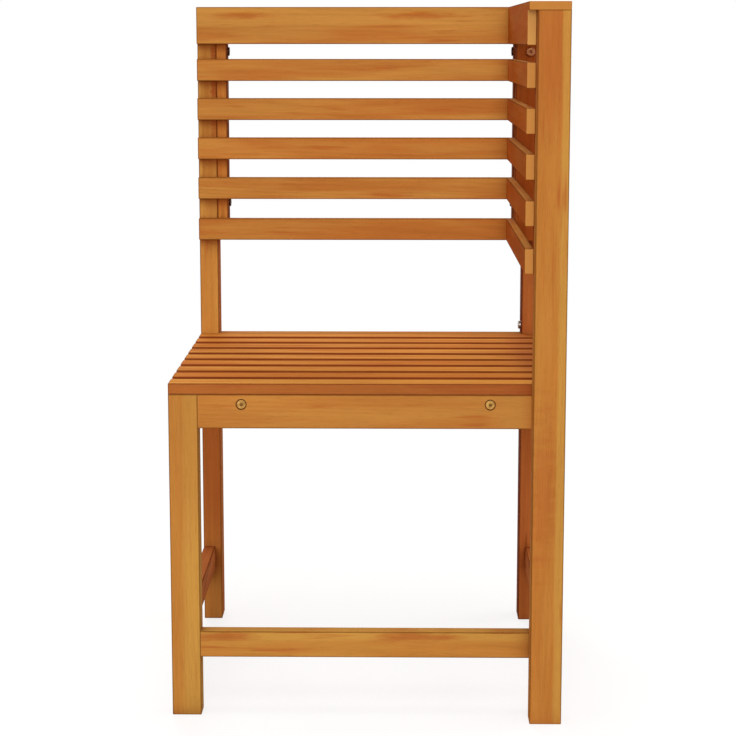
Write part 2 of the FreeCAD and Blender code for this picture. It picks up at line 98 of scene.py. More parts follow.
class Wiring:
    """Adds nodes to one shader tree and joins them up."""

    def __init__(self, tree: bpy.types.NodeTree) -> None:
        """Keeps the tree that the nodes go into."""
        self.tree = tree

    def add(self, kind: str, **settings: object) -> bpy.types.Node:
        """Adds a node and sets its properties.

        Args:
            kind: Blender's name of the node type.
            settings: Properties of the node and their values.

        Returns:
            The new node.
        """
        node = self.tree.nodes.new(kind)
        for name, value in settings.items():
            setattr(node, name, value)
        return node

    def feed(self, socket: Socket, value: Feed) -> None:
        """Links a socket to another one, or sets its own value."""
        if isinstance(value, bpy.types.NodeSocket):
            self.tree.links.new(value, socket)
        else:
            socket.default_value = value

    def maths(self, operation: str, *values: Feed, clamp: bool = False) -> Socket:
        """Works on numbers.

        Args:
            operation: Blender's name of the operation.
            values: The numbers or sockets that it takes.
            clamp: Whether the result stays between 0 and 1.

        Returns:
            The socket with the result.
        """
        node = self.add("ShaderNodeMath", operation=operation, use_clamp=clamp)
        for socket, value in zip(node.inputs, values):
            self.feed(socket, value)
        return node.outputs["Value"]

    def vectors(self, operation: str, *values: Feed) -> Socket:
        """Works on vectors.

        Args:
            operation: Blender's name of the operation.
            values: The vectors or sockets that it takes.

        Returns:
            The socket with the result, a number for a length or a dot product.
        """
        node = self.add("ShaderNodeVectorMath", operation=operation)
        for socket, value in zip(node.inputs, values):
            self.feed(socket, value)
        is_number = operation in ("LENGTH", "DOT_PRODUCT")
        return node.outputs["Value" if is_number else "Vector"]

    def ease(self, value: Feed, low: Feed, high: Feed) -> Socket:
        """Rises smoothly from 0 at low to 1 at high.

        Args:
            value: The number to map.
            low: Where the rise starts.
            high: Where the rise ends.

        Returns:
            The socket with the share from 0 to 1.
        """
        node = self.add("ShaderNodeMapRange", interpolation_type="SMOOTHSTEP")
        self.feed(node.inputs["Value"], value)
        self.feed(node.inputs["From Min"], low)
        self.feed(node.inputs["From Max"], high)
        return node.outputs["Result"]

    def noise(self, place: Feed, stretch: Triple, detail: float, roughness: float = 0.5) -> Socket:
        """Makes noise with its own frequency along each axis.

        Args:
            place: Where the noise is read.
            stretch: Cycles per metre along each axis.
            detail: Octaves of finer noise.
            roughness: How strong the finer octaves are.

        Returns:
            The socket with the noise, around 0.5.
        """
        node = self.add("ShaderNodeTexNoise", noise_dimensions="3D")
        self.feed(node.inputs["Vector"], self.vectors("MULTIPLY", place, stretch))
        self.feed(node.inputs["Scale"], 1.0)
        self.feed(node.inputs["Detail"], detail)
        self.feed(node.inputs["Roughness"], roughness)
        return node.outputs[0]

    def mix(self, share: Feed, first: Feed, second: Feed, blend: str = "MIX") -> Socket:
        """Mixes two colours.

        Args:
            share: How much of the second colour shows.
            first: The colour underneath.
            second: The colour on top.
            blend: Blender's name of the blend.

        Returns:
            The socket with the mixed colour.
        """
        node = self.add("ShaderNodeMix", data_type="RGBA", blend_type=blend)
        sockets = {socket.identifier: socket for socket in node.inputs}
        self.feed(sockets["Factor_Float"], share)
        self.feed(sockets["A_Color"], first)
        self.feed(sockets["B_Color"], second)
        return next(out for out in node.outputs if out.identifier == "Result_Color")

    def shade(self, kind: str, **values: Feed) -> Socket:
        """Adds a plain shader.

        Args:
            kind: Blender's name of the node type.
            values: What goes into its sockets.

        Returns:
            The socket with the shader.
        """
        node = self.add(kind)
        for name, value in values.items():
            self.feed(node.inputs[name], value)
        return node.outputs[0]

    def mix_shaders(self, share: Feed, first: Socket, second: Socket) -> Socket:
        """Mixes two shaders.

        Args:
            share: How much of the second shader shows.
            first: The shader underneath.
            second: The shader on top.

        Returns:
            The socket with the mixed shader.
        """
        node = self.add("ShaderNodeMixShader")
        for socket, value in zip(node.inputs, (share, first, second)):
            self.feed(socket, value)
        return node.outputs["Shader"]

    def seen_plainly(self) -> Socket:
        """Finds the rays that show the background: straight, in a mirror or through glass.

        Returns:
            The socket with 1 for such a ray and 0 for the rest.
        """
        path = self.add("ShaderNodeLightPath").outputs
        shown = self.maths("MAXIMUM", path["Is Camera Ray"], path["Is Glossy Ray"])
        return self.maths("MAXIMUM", shown, path["Is Transmission Ray"])

    def place_group(self, group: bpy.types.NodeTree, **values: Feed) -> bpy.types.Node:
        """Places a shared effect in the tree.

        Args:
            group: The node group.
            values: What goes into its sockets, with _ for a space in a name.

        Returns:
            The group's node.
        """
        node = self.add("ShaderNodeGroup", node_tree=group)
        for name, value in values.items():
            self.feed(node.inputs[name.replace("_", " ")], value)
        return node


class Kind(Enum):
    """Kinds of socket that a shared effect can have."""

    NUMBER = "NodeSocketFloat"
    VECTOR = "NodeSocketVector"
    COLOUR = "NodeSocketColor"


def start_group(name: str, takes: dict[str, Kind], gives: dict[str, Kind]) -> tuple[
        Wiring, bpy.types.NodeOutputs, bpy.types.NodeInputs]:
    """Starts a node group with named sockets.

    Args:
        name: The group's name.
        takes: Names and kinds of its inputs.
        gives: Names and kinds of its outputs.

    Returns:
        The wiring of the group, its inputs by name, and its outputs by name.
    """
    tree = bpy.data.node_groups.new(name, "ShaderNodeTree")
    for label, kind in takes.items():
        tree.interface.new_socket(label, in_out="INPUT", socket_type=kind.value)
    for label, kind in gives.items():
        tree.interface.new_socket(label, in_out="OUTPUT", socket_type=kind.value)
    wiring = Wiring(tree)
    entry = wiring.add("NodeGroupInput")
    leave = wiring.add("NodeGroupOutput")
    return wiring, entry.outputs, leave.inputs


@cache
def timber_figure() -> bpy.types.NodeTree:
    """Builds the figure of sawn timber: rings, streaks, red heartwood, soft tones, fibres and pores.

    Returns:
        The node group. Its Board input is centred on the board, with X along the grain.
    """
    takes = {"Board": Kind.VECTOR, "Seed": Kind.VECTOR, "Pith": Kind.VECTOR,
             "Lean": Kind.VECTOR, "Ring Width": Kind.NUMBER}
    gives = {label: Kind.NUMBER for label in ("Rings", "Streaks", "Heart", "Tone", "Fibres", "Pores")}
    w, entry, leave = start_group("Timber Figure", takes, gives)
    seeded = w.vectors("ADD", entry["Board"], entry["Seed"])

    # The grain wanders a few millimetres from straight
    wander_reach = 0.011
    elsewhere = (3.1, 1.7, 5.3)
    shifted = w.vectors("ADD", seeded, elsewhere)
    sway = w.add("ShaderNodeCombineXYZ")
    for axis, spot in (("Y", seeded), ("Z", shifted)):
        wander = w.maths("SUBTRACT", w.noise(spot, (2.6, 9.0, 9.0), 2.0), 0.5)
        w.feed(sway.inputs[axis], w.maths("MULTIPLY", wander, wander_reach))
    wavy = w.vectors("ADD", seeded, sway.outputs["Vector"])

    # Growth rings lie round the pith, which leans a little from the board's length
    unevenness = 2.4
    late_wood_power = 2.2
    along = w.add("ShaderNodeSeparateXYZ")
    w.feed(along.inputs["Vector"], entry["Board"])
    drift = w.vectors("SCALE", entry["Lean"])
    w.feed(drift.node.inputs["Scale"], along.outputs["X"])
    around = w.vectors("SUBTRACT", w.vectors("ADD", entry["Board"], sway.outputs["Vector"]), entry["Pith"])
    around = w.vectors("MULTIPLY", w.vectors("ADD", around, drift), (0.0, 1.0, 1.0))
    turns = w.maths("DIVIDE", w.vectors("LENGTH", around), entry["Ring Width"])
    uneven = w.maths("MULTIPLY", w.noise(seeded, (1.2, 40.0, 40.0), 2.0), unevenness)
    phase = w.maths("MULTIPLY", w.maths("ADD", turns, uneven), math.tau)
    wave = w.maths("MULTIPLY_ADD", w.maths("SINE", phase), 0.5, 0.5)
    late = w.maths("POWER", wave, late_wood_power)
    strength = w.ease(w.noise(shifted, (1.6, 55.0, 55.0), 1.0), 0.35, 0.65)
    w.feed(leave["Rings"], w.maths("MULTIPLY", late, strength))

    # Broad and narrow streaks of darker wood run with the grain
    broad_share = 0.72
    broad = w.ease(w.noise(wavy, (5.0, 58.0, 58.0), 2.0), 0.34, 0.66)
    narrow = w.ease(w.noise(wavy, (7.0, 240.0, 240.0), 2.0), 0.30, 0.70)
    narrow = w.maths("MULTIPLY", narrow, 1.0 - broad_share)
    w.feed(leave["Streaks"], w.maths("MULTIPLY_ADD", broad, broad_share, narrow))
    w.feed(leave["Heart"], w.ease(w.noise(wavy, (9.0, 110.0, 110.0), 2.0), 0.60, 0.78))
    w.feed(leave["Tone"], w.noise(seeded, (3.0, 20.0, 20.0), 1.0))

    # Fine fibres and short open pores
    w.feed(leave["Fibres"], w.noise(wavy, (26.0, 1500.0, 1500.0), 2.0, 0.6))
    w.feed(leave["Pores"], w.ease(w.noise(wavy, (75.0, 1900.0, 1900.0), 1.0), 0.64, 0.72))
    return w.tree


@cache
def board_edges() -> bpy.types.NodeTree:
    """Builds the masks of a board's dark edges and of its end grain.

    Returns:
        The node group. Its Place input is the point in the chair's frame.
    """
    takes = {"Place": Kind.VECTOR, "Normal": Kind.VECTOR, "Centre": Kind.VECTOR, "Half Size": Kind.VECTOR,
             "Grain": Kind.VECTOR, "Seed": Kind.VECTOR, "Start": Kind.NUMBER, "Width": Kind.NUMBER}
    w, entry, leave = start_group("Board Edges", takes, {"Edge": Kind.NUMBER, "End": Kind.NUMBER})
    inside = w.vectors("ABSOLUTE", w.vectors("SUBTRACT", entry["Place"], entry["Centre"]))
    depth = w.add("ShaderNodeSeparateXYZ")
    w.feed(depth.inputs["Vector"], w.vectors("SUBTRACT", entry["Half Size"], inside))
    x, y, z = depth.outputs

    # The middle one of the three depths is the distance to the nearest edge
    least_reach = 0.4
    raggedness = 1.2
    lower = w.maths("MINIMUM", x, y)
    upper = w.maths("MINIMUM", w.maths("MAXIMUM", x, y), z)
    distance = w.maths("MAXIMUM", lower, upper)
    ragged = w.noise(w.vectors("ADD", entry["Place"], entry["Seed"]), (90.0, 90.0, 90.0), 3.0, 0.6)
    reach = w.maths("MULTIPLY", entry["Width"], w.maths("MULTIPLY_ADD", ragged, raggedness, least_reach))
    past = w.maths("SUBTRACT", distance, entry["Start"])
    w.feed(leave["Edge"], w.maths("SUBTRACT", 1.0, w.ease(past, 0.0, reach)))
    facing = w.maths("ABSOLUTE", w.vectors("DOT_PRODUCT", entry["Normal"], entry["Grain"]))
    w.feed(leave["End"], w.ease(facing, 0.5, 0.9))
    return w.tree


@cache
def timber_colour() -> bpy.types.NodeTree:
    """Builds the colour, gloss and relief of oiled timber from its figure, with painted shade in its
    corners.

    Returns:
        The node group.
    """
    masks = ("Rings", "Streaks", "Heart", "Tone", "Fibres", "Pores", "Edge", "End", "Stain", "Open")
    colours = ("Sapwood", "Heartwood", "Red", "Dark", "Cut End", "Deep")
    takes = {label: Kind.NUMBER for label in masks} | {label: Kind.COLOUR for label in colours}
    takes |= {"Smooth": Kind.NUMBER, "Dry": Kind.NUMBER}
    gives = {"Color": Kind.COLOUR, "Roughness": Kind.NUMBER, "Height": Kind.NUMBER}
    w, entry, leave = start_group("Timber Colour", takes, gives)

    # Streaks, heartwood and rings colour the wood, and so do the red marks, which also carry painted shade
    heart_share = 0.6
    ring_share = 0.10
    colour = w.mix(entry["Streaks"], entry["Sapwood"], entry["Heartwood"])
    reddened = w.maths("MAXIMUM", w.maths("MULTIPLY", entry["Heart"], heart_share), entry["Stain"])
    colour = w.mix(reddened, colour, entry["Red"])
    colour = w.mix(w.maths("MULTIPLY", entry["Rings"], ring_share), colour, entry["Dark"])

    # Soft tones and fibres vary how light it is
    least_level = 0.67
    tone_span = 0.30
    fibre_span = 0.36
    level = w.maths("MULTIPLY_ADD", entry["Tone"], tone_span, least_level)
    level = w.maths("MULTIPLY_ADD", entry["Fibres"], fibre_span, level)
    shading = w.add("ShaderNodeCombineColor")
    for channel in shading.inputs:
        w.feed(channel, level)
    colour = w.mix(1.0, colour, shading.outputs["Color"], "MULTIPLY")

    # Pores are dark, and cut ends have their own colour
    pore_share = 0.20
    end_share = 0.80
    colour = w.mix(w.maths("MULTIPLY", entry["Pores"], pore_share), colour, entry["Dark"])
    colour = w.mix(w.maths("MULTIPLY", entry["End"], end_share), colour, entry["Cut End"])

    # The edges are darker, and painted shade darkens the corners where boards meet, but not the cut ends
    edge_share = 0.7
    corner_share = 0.78
    long_side = w.maths("SUBTRACT", 1.0, entry["End"])
    edge = w.maths("MULTIPLY", entry["Edge"], long_side)
    colour = w.mix(w.maths("MULTIPLY", edge, edge_share), colour, entry["Dark"])
    shut = w.maths("SUBTRACT", 1.0, w.ease(entry["Open"], 0.25, 0.92))
    shut = w.maths("MULTIPLY", shut, long_side)
    w.feed(leave["Color"], w.mix(w.maths("MULTIPLY", shut, corner_share), colour, entry["Deep"]))

    # Pores, ends and edges are drier than the oiled faces
    streak_dryness = 0.25
    worn_dryness = 0.6
    dry = w.maths("MAXIMUM", entry["Edge"], w.maths("MAXIMUM", entry["Pores"], entry["End"]))
    dry = w.maths("MULTIPLY", dry, worn_dryness)
    patchy = w.maths("MULTIPLY_ADD", entry["Streaks"], streak_dryness, dry, clamp=True)
    span = w.maths("SUBTRACT", entry["Dry"], entry["Smooth"])
    w.feed(leave["Roughness"], w.maths("MULTIPLY_ADD", patchy, span, entry["Smooth"]))

    # Fibres and rings stand up, and pores are sunk
    fibre_height = 0.45
    ring_height = 0.25
    pore_depth = 0.6
    raised = w.maths("MULTIPLY", entry["Rings"], ring_height)
    raised = w.maths("MULTIPLY_ADD", entry["Fibres"], fibre_height, raised)
    w.feed(leave["Height"], w.maths("SUBTRACT", raised, w.maths("MULTIPLY", entry["Pores"], pore_depth)))
    return w.tree


@cache
def side_band() -> bpy.types.NodeTree:
    """Builds the mask of paler or redder wood along one side of a board.

    Returns:
        The node group.
    """
    takes = {"Place": Kind.VECTOR, "Seed": Kind.VECTOR, "Direction": Kind.VECTOR,
             "Start": Kind.NUMBER, "Softness": Kind.NUMBER, "Wander": Kind.NUMBER}
    w, entry, leave = start_group("Side Band", takes, {"Band": Kind.NUMBER})
    wander = w.noise(w.vectors("ADD", entry["Place"], entry["Seed"]), (5.0, 5.0, 5.0), 2.0)
    across = w.vectors("DOT_PRODUCT", entry["Place"], entry["Direction"])
    across = w.maths("MULTIPLY_ADD", w.maths("SUBTRACT", wander, 0.5), entry["Wander"], across)
    past = w.maths("SUBTRACT", across, entry["Start"])
    w.feed(leave["Band"], w.ease(past, 0.0, entry["Softness"]))
    return w.tree


@cache
def heart_streak() -> bpy.types.NodeTree:
    """Builds the mask of one long red streak at a chosen place on a board.

    Returns:
        The node group.
    """
    takes = {"Place": Kind.VECTOR, "Seed": Kind.VECTOR, "Centre": Kind.VECTOR, "Reach": Kind.VECTOR}
    w, entry, leave = start_group("Heart Streak", takes, {"Streak": Kind.NUMBER})
    raggedness = 1.5
    ragged = w.noise(w.vectors("ADD", entry["Place"], entry["Seed"]), (28.0, 28.0, 160.0), 3.0, 0.6)
    ragged = w.maths("SUBTRACT", ragged, 0.5)
    offset = w.vectors("DIVIDE", w.vectors("SUBTRACT", entry["Place"], entry["Centre"]), entry["Reach"])
    distance = w.maths("MULTIPLY_ADD", ragged, raggedness, w.vectors("LENGTH", offset))
    w.feed(leave["Streak"], w.maths("SUBTRACT", 1.0, w.ease(distance, 0.15, 1.1)))
    return w.tree


@cache
def plating() -> bpy.types.NodeTree:
    """Builds the colour, gloss and relief of plated metal: dull spots, fine scratches and painted shade in
    hollows.

    Returns:
        The node group.
    """
    takes = {"Place": Kind.VECTOR, "Bright": Kind.COLOUR, "Dull": Kind.COLOUR, "Grime": Kind.COLOUR,
             "Open": Kind.NUMBER, "Smooth": Kind.NUMBER, "Rough": Kind.NUMBER}
    gives = {"Color": Kind.COLOUR, "Roughness": Kind.NUMBER, "Height": Kind.NUMBER}
    w, entry, leave = start_group("Plating", takes, gives)
    cloudy = w.ease(w.noise(entry["Place"], (160.0, 160.0, 160.0), 3.0, 0.6), 0.35, 0.75)
    scratched = w.noise(entry["Place"], (2600.0, 420.0, 2600.0), 2.0)
    # Painted shade: the hollows, such as a bolt's socket, take the shade colour
    unshaded = w.ease(entry["Open"], 0.45, 0.85)
    metal = w.mix(cloudy, entry["Bright"], entry["Dull"])
    w.feed(leave["Color"], w.mix(unshaded, entry["Grime"], metal))
    share = w.maths("MULTIPLY_ADD", scratched, 0.5, w.maths("MULTIPLY", cloudy, 0.5))
    span = w.maths("SUBTRACT", entry["Rough"], entry["Smooth"])
    w.feed(leave["Roughness"], w.maths("MULTIPLY_ADD", share, span, entry["Smooth"]))
    w.feed(leave["Height"], scratched)
    return w.tree


def clear_tree(owner: bpy.types.Material | bpy.types.World) -> Wiring:
    """Starts the shader tree of a material or of the surroundings.

    Args:
        owner: What the tree belongs to.

    Returns:
        The wiring of the empty tree.
    """
    owner.use_nodes = True
    owner.node_tree.nodes.clear()
    return Wiring(owner.node_tree)


def start_material(name: str) -> tuple[bpy.types.Material, Wiring, bpy.types.Node]:
    """Starts a material with a Principled shader.

    Args:
        name: The material's name.

    Returns:
        The material, the wiring of its tree, and its shader.
    """
    material = bpy.data.materials.new(name)
    wiring = clear_tree(material)
    shader = wiring.add("ShaderNodeBsdfPrincipled")
    output = wiring.add("ShaderNodeOutputMaterial")
    wiring.feed(output.inputs["Surface"], shader.outputs["BSDF"])
    return material, wiring, shader


def add_relief(wiring: Wiring, shader: bpy.types.Node, height: Socket, strength: float,
               depth: float) -> None:
    """Gives a shader bump.

    Args:
        wiring: The wiring of the material's tree.
        shader: The material's Principled shader.
        height: The socket with the height.
        strength: How much of the bump shows, from 0 to 1.
        depth: Depth of the bump in metres.
    """
    bump = wiring.add("ShaderNodeBump")
    wiring.feed(bump.inputs["Strength"], strength)
    wiring.feed(bump.inputs["Distance"], depth)
    wiring.feed(bump.inputs["Height"], height)
    wiring.feed(shader.inputs["Normal"], bump.outputs["Normal"])


class Grain(Enum):
    """The way that a board's grain runs, with the turn that brings it onto X."""

    ACROSS = (TO_SIDE, (0.0, 0.0, 0.0))
    DEEP = (TO_REAR, (0.0, 0.0, -math.pi / 2))
    UPRIGHT = (UPWARD, (0.0, math.pi / 2, 0.0))

    @property
    def axis(self) -> Triple:
        """Direction of the grain in the chair's frame."""
        return self.value[0]

    @property
    def turn(self) -> Triple:
        """Euler angles that bring the grain onto X."""
        return self.value[1]


@dataclass(frozen=True)
class OiledTimber:
    """Oiled hardwood of one colour, how its rings and edges look, and the colour of its painted shade."""

    name: str
    sapwood: Colour
    heartwood: Colour
    red: Colour
    dark: Colour
    cut_end: Colour
    # Colour of the painted shade in corners and under other boards
    shade_colour: Colour = paint(126, 64, 24)
    smooth: float = 0.68
    dry: float = 0.95
    shine: float = 0.01
    recess: float = 0.03
    ring_width: float = 0.0055
    edge_start: float = 0.0006
    edge_width: float = 0.0012
    relief: float = 0.35
    relief_depth: float = 0.0004


GOLDEN = OiledTimber(
    name="golden",
    sapwood=paint(200, 147, 69),
    heartwood=paint(188, 119, 53),
    red=paint(172, 88, 40),
    dark=paint(108, 66, 22),
    cut_end=paint(216, 166, 96),
)
AMBER = OiledTimber(
    name="amber",
    sapwood=paint(199, 141, 68),
    heartwood=paint(185, 114, 51),
    red=paint(174, 88, 36),
    dark=paint(104, 60, 20),
    cut_end=paint(206, 146, 76),
    shade_colour=paint(146, 80, 30),
)
RUSSET = OiledTimber(
    name="russet",
    sapwood=paint(207, 141, 60),
    heartwood=paint(188, 112, 45),
    red=paint(160, 80, 42),
    dark=paint(106, 50, 22),
    cut_end=paint(210, 148, 84),
    shade_colour=paint(130, 58, 18),
)
# Painted shade: darker, redder copies of the wood for boards that stand in shade: the side's battens, the
# rear right post and the side stretchers
SHADE_MAROON = OiledTimber(
    name="shade_maroon",
    sapwood=paint(186, 98, 40),
    heartwood=paint(168, 80, 30),
    red=paint(96, 30, 10),
    dark=paint(92, 40, 16),
    cut_end=paint(176, 104, 52),
    shade_colour=paint(106, 40, 14),
)
SHADED = replace(SHADE_MAROON, name="shaded", sapwood=paint(192, 112, 56), heartwood=paint(174, 94, 44))
# Painted light and shade: the back's battens and the rear left post are paler in the open, against the
# shade between the slats, and take a redder painted shadow under them
BROWNED = replace(SHADE_MAROON, name="browned", sapwood=paint(214, 142, 64), heartwood=paint(200, 120, 52),
                  shade_colour=paint(120, 42, 10))
SHADOWED = replace(GOLDEN, name="shadowed", sapwood=paint(208, 150, 72), shade_colour=paint(120, 42, 10))
# Painted shade: the side's slats take this deeper red on their inner faces
REDDENED = replace(AMBER, name="reddened", red=paint(176, 85, 14))
# Painted light: the top side slat's cut end is paler, against the shadow of the cap above it
END_LIT = replace(REDDENED, name="end_lit", cut_end=paint(222, 170, 96))
# Paler painted shade for the front right post and for the apron round its bolts
SOFT_SHADE_GOLDEN = replace(GOLDEN, name="soft_shade_golden", shade_colour=paint(176, 104, 46))
SOFT_SHADE_AMBER = replace(AMBER, name="soft_shade_amber", shade_colour=paint(180, 106, 46))
CAPPING = replace(REDDENED, name="capping", cut_end=paint(198, 134, 64))
PALE = OiledTimber(
    name="pale",
    sapwood=paint(214, 182, 128),
    heartwood=paint(202, 164, 108),
    red=paint(186, 140, 88),
    dark=paint(140, 100, 60),
    cut_end=paint(224, 196, 146),
)


@dataclass(frozen=True)
class Band:
    """Pale or red wood, or painted light or shade, along one side of a board.

    It starts where the distance along the direction, from the chair's origin, reaches start. With
    faces given, it shows only on the faces that look that way.
    """

    direction: Triple
    start: float
    softness: float
    strength: float = 0.9
    wander: float = 0.016
    faces: Triple | None = None


@dataclass(frozen=True)
class Streak:
    """A red streak: its centre in the chair's frame, its half lengths and how strong it is."""

    HALF_DEPTH: ClassVar[float] = 0.05

    centre: Triple
    reach: Triple
    strength: float = 0.9


def streak_row(places: tuple[tuple[float, float], ...], front: float, height: float, half_height: float,
               strength: float) -> tuple[Streak, ...]:
    """Lists red streaks that lie in a row on a board's front.

    Args:
        places: Middle and half length of each streak, across the chair.
        front: Where the board's front is.
        height: Height of the row.
        half_height: Half of a streak's height.
        strength: How strong the streaks are.

    Returns:
        The streaks.
    """
    return tuple(Streak((x, front, height), (half, Streak.HALF_DEPTH, half_height), strength)
                 for x, half in places)


@dataclass(frozen=True)
class Board:
    """One length of timber: which node it is, how it was sawn, and its own marks.

    Its streaks are as strong as the contrast says, and darker by the depth. The faces that look
    the way of painted_shade_faces take painted shade, a darker red. The pale band, which is painted
    light on some boards, may win over the red marks. A board with a painted shadow is darker right
    under the boards before it, where their shadow falls. A board sawn with an earlier one carries on
    its figure, and one flush with another shows no dark edge at their joint.
    """

    node: str
    grain: Grain
    timber: OiledTimber
    depth: float = 0.0
    contrast: float = 1.0
    pale_or_lit_band: Band | None = None
    red_or_shade_band: Band | None = None
    streaks: tuple[Streak, ...] = ()
    painted_shade_faces: Triple | None = None
    pale_wins: bool = False
    has_painted_shadow: bool = False
    sawn_with: str | None = None
    flush_with: str | None = None


class BoardFinish:
    """Builds the material of one board, with its figure, its marks and its dark edges."""

    SEED_STEP = Vector((1.37, 0.73, 2.11))
    PITH_TURN = 2.399963
    PITH_REACH = 0.055
    LEAN = 0.03
    # How strong the painted shade on the faces that look one way is, and how the streaks vary it
    FACE_STRENGTH = 0.8
    FACE_LEAST = 0.9
    FACE_VARIETY = 0.25
    FACING_FROM = 0.25
    FACING_FULL = 0.8
    # How the upward look sets the painted shadow under the boards above
    SHADOW_GAIN = 1.6
    SHADOW_START = -0.32

    def __init__(self, board: Board, number: int, heart: Vector) -> None:
        """Starts the material.

        Args:
            board: The board.
            number: The number of its cut, which gives it its own place in the tree.
            heart: The middle of that cut.
        """
        self.board = board
        self.number = number
        self.heart = heart
        self.seed: Triple = tuple(self.SEED_STEP * number)
        self.material, self.w, self.shader = start_material(f"{board.timber.name}_{board.node}")
        self.place = self.w.add("ShaderNodeTexCoord").outputs

    def build(self, centre: Vector, half: Vector) -> bpy.types.Material:
        """Builds the material.

        Args:
            centre: Middle of the box whose edges are dark.
            half: Half of that box's size.

        Returns:
            The material.
        """
        w = self.w
        board = self.board
        timber = board.timber
        figure = self.figure()
        wear = w.place_group(board_edges(), Place=self.place["Object"], Normal=self.place["Normal"],
                             Centre=centre, Half_Size=half, Grain=board.grain.axis, Seed=self.seed,
                             Start=timber.edge_start, Width=timber.edge_width).outputs
        streaks = w.maths("MULTIPLY_ADD", figure["Streaks"], board.contrast, board.depth, clamp=True)
        stain_or_shade = self.stain_or_shade(streaks)
        if board.pale_or_lit_band:
            plain = w.maths("SUBTRACT", 1.0, self.band_mask(board.pale_or_lit_band))
            streaks = w.maths("MULTIPLY", streaks, plain)
            stain_or_shade = w.maths("MULTIPLY", stain_or_shade, plain) if board.pale_wins else stain_or_shade
        looks = w.place_group(timber_colour(), Rings=figure["Rings"], Streaks=streaks,
                              Heart=figure["Heart"], Tone=figure["Tone"], Fibres=figure["Fibres"],
                              Pores=figure["Pores"], Edge=wear["Edge"], End=wear["End"], Stain=stain_or_shade,
                              Open=self.openness(),
                              Sapwood=timber.sapwood, Heartwood=timber.heartwood, Red=timber.red,
                              Dark=timber.dark, Cut_End=timber.cut_end, Deep=timber.shade_colour,
                              Smooth=timber.smooth, Dry=timber.dry).outputs
        w.feed(self.shader.inputs["Base Color"], looks["Color"])
        w.feed(self.shader.inputs["Roughness"], looks["Roughness"])
        w.feed(self.shader.inputs["Specular IOR Level"], timber.shine)
        add_relief(w, self.shader, looks["Height"], timber.relief, timber.relief_depth)
        return self.material

    def figure(self) -> bpy.types.NodeOutputs:
        """Places the timber's figure so that it runs along the board.

        Returns:
            The figure's masks.
        """
        angle = self.PITH_TURN * self.number
        pith = (0.0, math.cos(angle) * self.PITH_REACH, math.sin(angle) * self.PITH_REACH)
        lean = (0.0, math.sin(2 * angle) * self.LEAN, math.cos(3 * angle) * self.LEAN)
        turn = Euler(self.board.grain.turn)
        along = self.w.add("ShaderNodeMapping", vector_type="POINT")
        self.w.feed(along.inputs["Vector"], self.place["Object"])
        self.w.feed(along.inputs["Rotation"], turn)
        self.w.feed(along.inputs["Location"], -(turn.to_matrix() @ self.heart))
        return self.w.place_group(timber_figure(), Board=along.outputs["Vector"], Seed=self.seed, Pith=pith,
                                  Lean=lean, Ring_Width=self.board.timber.ring_width).outputs

    def openness(self) -> Socket:
        """Measures how little stands close to the surface, which sets the painted shade in corners; on a
        board with a painted shadow it looks upwards, so the shadow falls right under the boards above.

        Returns:
            The socket with 1 in the open and less in a corner.
        """
        corners = self.w.add("ShaderNodeAmbientOcclusion", samples=4)
        self.w.feed(corners.inputs["Distance"], self.board.timber.recess)
        if not self.board.has_painted_shadow:
            return corners.outputs["AO"]
        raised = self.w.vectors("ADD", self.place["Normal"], UPWARD)
        self.w.feed(corners.inputs["Normal"], self.w.vectors("NORMALIZE", raised))
        return self.w.maths("MULTIPLY_ADD", corners.outputs["AO"], self.SHADOW_GAIN, self.SHADOW_START)

    def facing(self, way: Triple) -> Socket:
        """Makes the mask of the faces that look one way."""
        towards = self.w.vectors("DOT_PRODUCT", self.place["Normal"], way)
        return self.w.ease(towards, self.FACING_FROM, self.FACING_FULL)

    def band_mask(self, band: Band) -> Socket:
        """Makes the mask of a band at its strength.

        Args:
            band: The band.

        Returns:
            The socket with the mask.
        """
        mask = self.w.place_group(side_band(), Place=self.place["Object"], Seed=self.seed,
                                  Direction=band.direction, Start=band.start, Softness=band.softness,
                                  Wander=band.wander).outputs["Band"]
        if band.faces:
            mask = self.w.maths("MULTIPLY", mask, self.facing(band.faces))
        return self.w.maths("MULTIPLY", mask, band.strength)

    def stain_or_shade(self, figure: Socket) -> Feed:
        """Makes the mask of the board's red marks and painted shade: streaks, a red band, which is painted
        shade on some boards, and painted shade on the faces that look one way.

        Args:
            figure: The socket with the board's streaks, which vary the painted shade on those faces.

        Returns:
            The socket with the mask, or 0 for a board with no such marks.
        """
        w = self.w
        masks = []
        for streak in self.board.streaks:
            mark = w.place_group(heart_streak(), Place=self.place["Object"], Seed=self.seed,
                                 Centre=streak.centre, Reach=streak.reach).outputs["Streak"]
            masks.append(w.maths("MULTIPLY", mark, streak.strength))
        if self.board.red_or_shade_band:
            masks.append(self.band_mask(self.board.red_or_shade_band))
        # Painted shade, a darker red, on the faces that look one way
        if self.board.painted_shade_faces:
            varied = w.maths("MULTIPLY_ADD", figure, self.FACE_VARIETY, self.FACE_LEAST)
            varied = w.maths("MULTIPLY", varied, self.FACE_STRENGTH)
            masks.append(w.maths("MULTIPLY", self.facing(self.board.painted_shade_faces), varied, clamp=True))
        total: Feed = 0.0
        for mask in masks:
            total = w.maths("MAXIMUM", mask, total)
        return total


